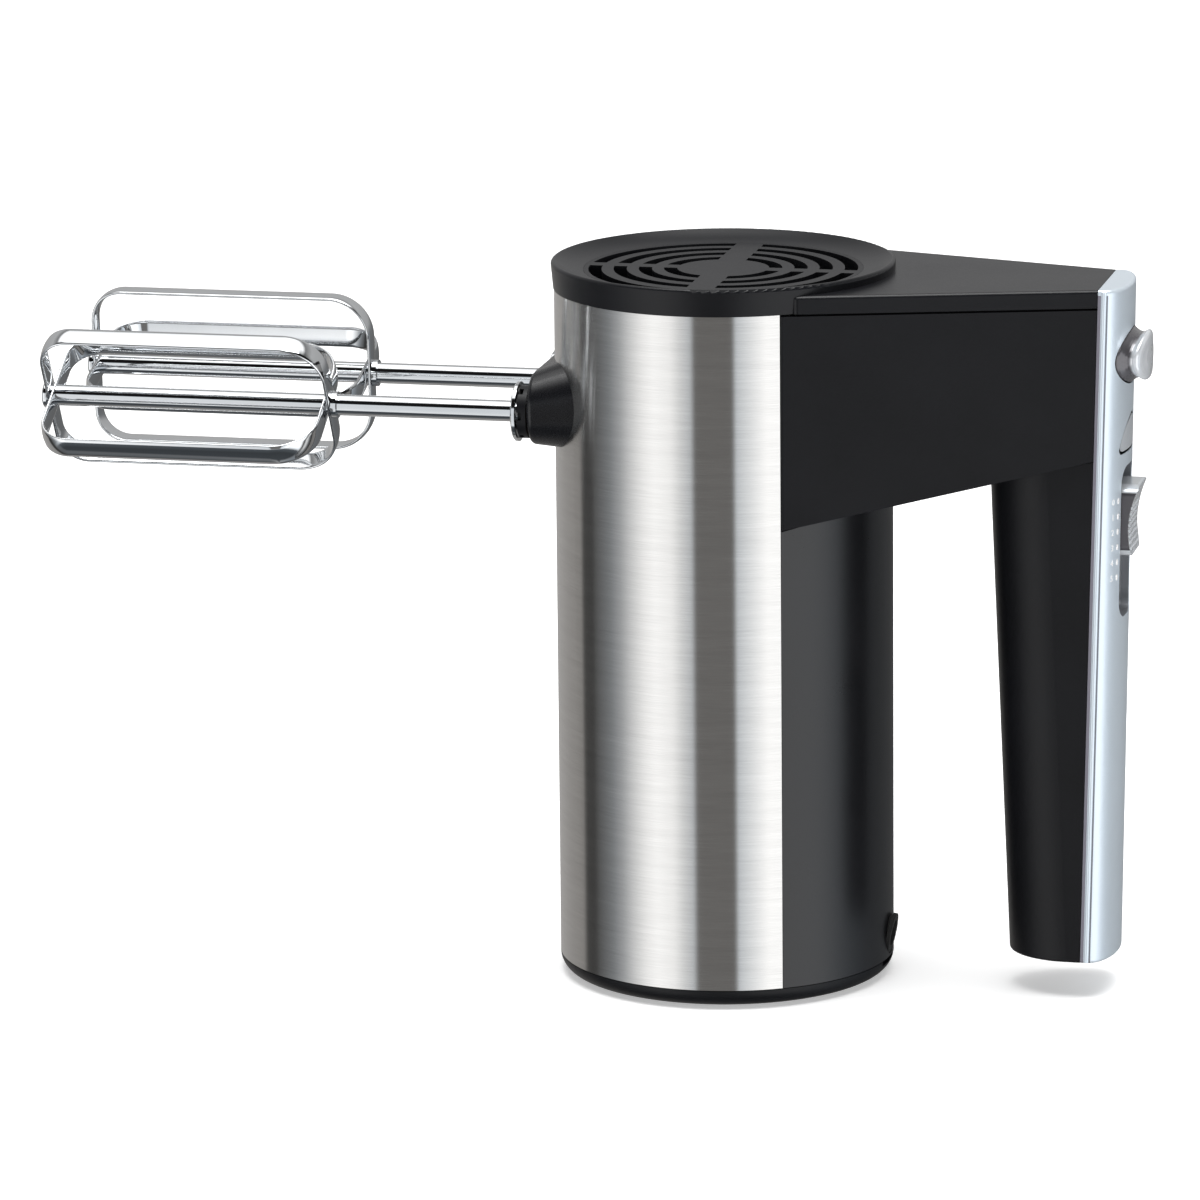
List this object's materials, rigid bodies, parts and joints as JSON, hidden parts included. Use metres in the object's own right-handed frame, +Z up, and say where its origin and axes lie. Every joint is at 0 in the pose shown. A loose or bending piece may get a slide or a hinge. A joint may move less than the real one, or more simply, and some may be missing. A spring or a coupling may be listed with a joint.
{
  "type": "hand mixer",
  "caption": "Electric hand mixer with a steel-clad upright motor body, bent arm, rear grip with speed slider, and worm-driven wire-strip beaters.",
  "frame": {"origin": "centre of the base pad, on the surface that the mixer stands on", "axes": "+Z up along the motor shaft; -X towards the beaters; +X towards the grip; -Y is the left side as the user holds it"},
  "size_m": [0.303, 0.0936, 0.1986],
  "materials": {
    "rubber_pad": "matt rubber with fine grain",
    "black_plastic": "black moulded plastic, fine spark-eroded grain",
    "liner_plastic": "dark grey moulded plastic",
    "brushed_steel": "stainless steel brushed round the body",
    "silver_trim": "satin silver paint on plastic",
    "zinc_steel": "zinc plated steel",
    "ground_steel": "ground steel",
    "chrome": "bright chrome plate",
    "die_cast": "sand-textured die casting",
    "laminations": "stacked steel laminations",
    "copper_wire": "varnished copper windings",
    "copper_bars": "turned copper bars",
    "bronze": "sintered bronze",
    "carbon": "pressed carbon",
    "gear_nylon": "natural nylon",
    "circuit_board": "green solder mask"
  },
  "bodies": {
    "root": {"base_pad": "rubber_pad", "base_cap": "black_plastic", "base_screws": "zinc_steel", "steel_sleeve": "brushed_steel", "front_liner": "liner_plastic", "rear_shell": "black_plastic", "cord_inlet": "rubber_pad", "top_cover": "black_plastic", "vent_grille": "black_plastic", "arm_shell_left": "black_plastic", "arm_shell_right": "black_plastic", "grip_shell": "black_plastic", "grip_screws": "zinc_steel", "handle_trim": "silver_trim", "beater_boss": "black_plastic", "rod_guide": "liner_plastic", "turbo_switch": "liner_plastic", "speed_switch": "liner_plastic", "control_board": "circuit_board", "terminal_block": "gear_nylon", "gear_frame": "die_cast", "spindle_bushes": "bronze", "motor_bushes": "bronze", "lower_bracket": "die_cast", "stator_core": "laminations", "field_coils": "copper_wire", "motor_screws": "zinc_steel", "brush_holders": "liner_plastic", "carbon_brushes": "carbon"},
    "armature": {"armature_shaft": "ground_steel", "armature_core": "laminations", "armature_winding": "copper_wire", "commutator": "copper_bars", "cooling_fan": "gear_nylon", "worm": "ground_steel"},
    "ejector": {"eject_button": "silver_trim", "eject_rod": "ground_steel", "eject_fork": "gear_nylon", "eject_spring": "zinc_steel"},
    "turbo": {"turbo_button": "silver_trim"},
    "slider": {"speed_slider": "silver_trim", "slider_carriage": "liner_plastic"},
    "left_drive": {"left_spindle": "ground_steel", "left_drive_ring": "black_plastic", "left_retaining_clip": "zinc_steel", "left_worm_wheel": "gear_nylon"},
    "left_pin": {"left_ejector_pin": "ground_steel"},
    "left_beater": {"left_beater_shaft": "chrome", "left_beater_collar": "chrome", "left_outer_loop": "chrome", "left_inner_loop": "chrome"},
    "right_drive": {"right_spindle": "ground_steel", "right_drive_ring": "black_plastic", "right_retaining_clip": "zinc_steel", "right_worm_wheel": "gear_nylon"},
    "right_pin": {"right_ejector_pin": "ground_steel"},
    "right_beater": {"right_beater_shaft": "chrome", "right_beater_collar": "chrome", "right_outer_loop": "chrome", "right_inner_loop": "chrome"}
  },
  "joints": [
    {"name": "motor_spin", "type": "hinge", "parent": "root", "child": "armature", "pos_m": [0, 0, 0.1], "axis": [0, 0, 1], "continuous": true},
    {"name": "eject_press", "type": "slide", "parent": "root", "child": "ejector", "axis": [-1, 0, 0], "range_m": [0, 0.006], "stiffness_N_per_m": 500, "springref_m": -0.004, "deforming": ["eject_spring"]},
    {"name": "turbo_press", "type": "slide", "parent": "root", "child": "turbo", "axis": [-1, 0, 0], "range_m": [0, 0.0015], "stiffness_N_per_m": 800, "springref_m": -0.001},
    {"name": "speed_slide", "type": "slide", "parent": "root", "child": "slider", "axis": [0, 0, -1], "range_m": [0, 0.0165]},
    {"name": "left_spin", "type": "hinge", "parent": "root", "child": "left_drive", "pos_m": [0, -0.0225, 0.159], "axis": [1, 0, 0], "continuous": true},
    {"name": "left_pin_slide", "type": "slide", "parent": "left_drive", "child": "left_pin", "axis": [-1, 0, 0], "range_m": [0, 0.006]},
    {"name": "left_beater_pull", "type": "slide", "parent": "left_pin", "child": "left_beater", "axis": [-1, 0, 0], "range_m": [0, 0.06]},
    {"name": "right_spin", "type": "hinge", "parent": "root", "child": "right_drive", "pos_m": [0, 0.0225, 0.159], "axis": [1, 0, 0], "continuous": true},
    {"name": "right_pin_slide", "type": "slide", "parent": "right_drive", "child": "right_pin", "axis": [-1, 0, 0], "range_m": [0, 0.006]},
    {"name": "right_beater_pull", "type": "slide", "parent": "right_pin", "child": "right_beater", "axis": [-1, 0, 0], "range_m": [0, 0.06]}
  ],
  "couplings": [
    {"joint": "left_spin", "follows": "motor_spin", "ratio": -0.066667},
    {"joint": "left_pin_slide", "follows": "eject_press", "ratio": 1},
    {"joint": "right_spin", "follows": "motor_spin", "ratio": 0.066667},
    {"joint": "right_pin_slide", "follows": "eject_press", "ratio": 1}
  ]
}
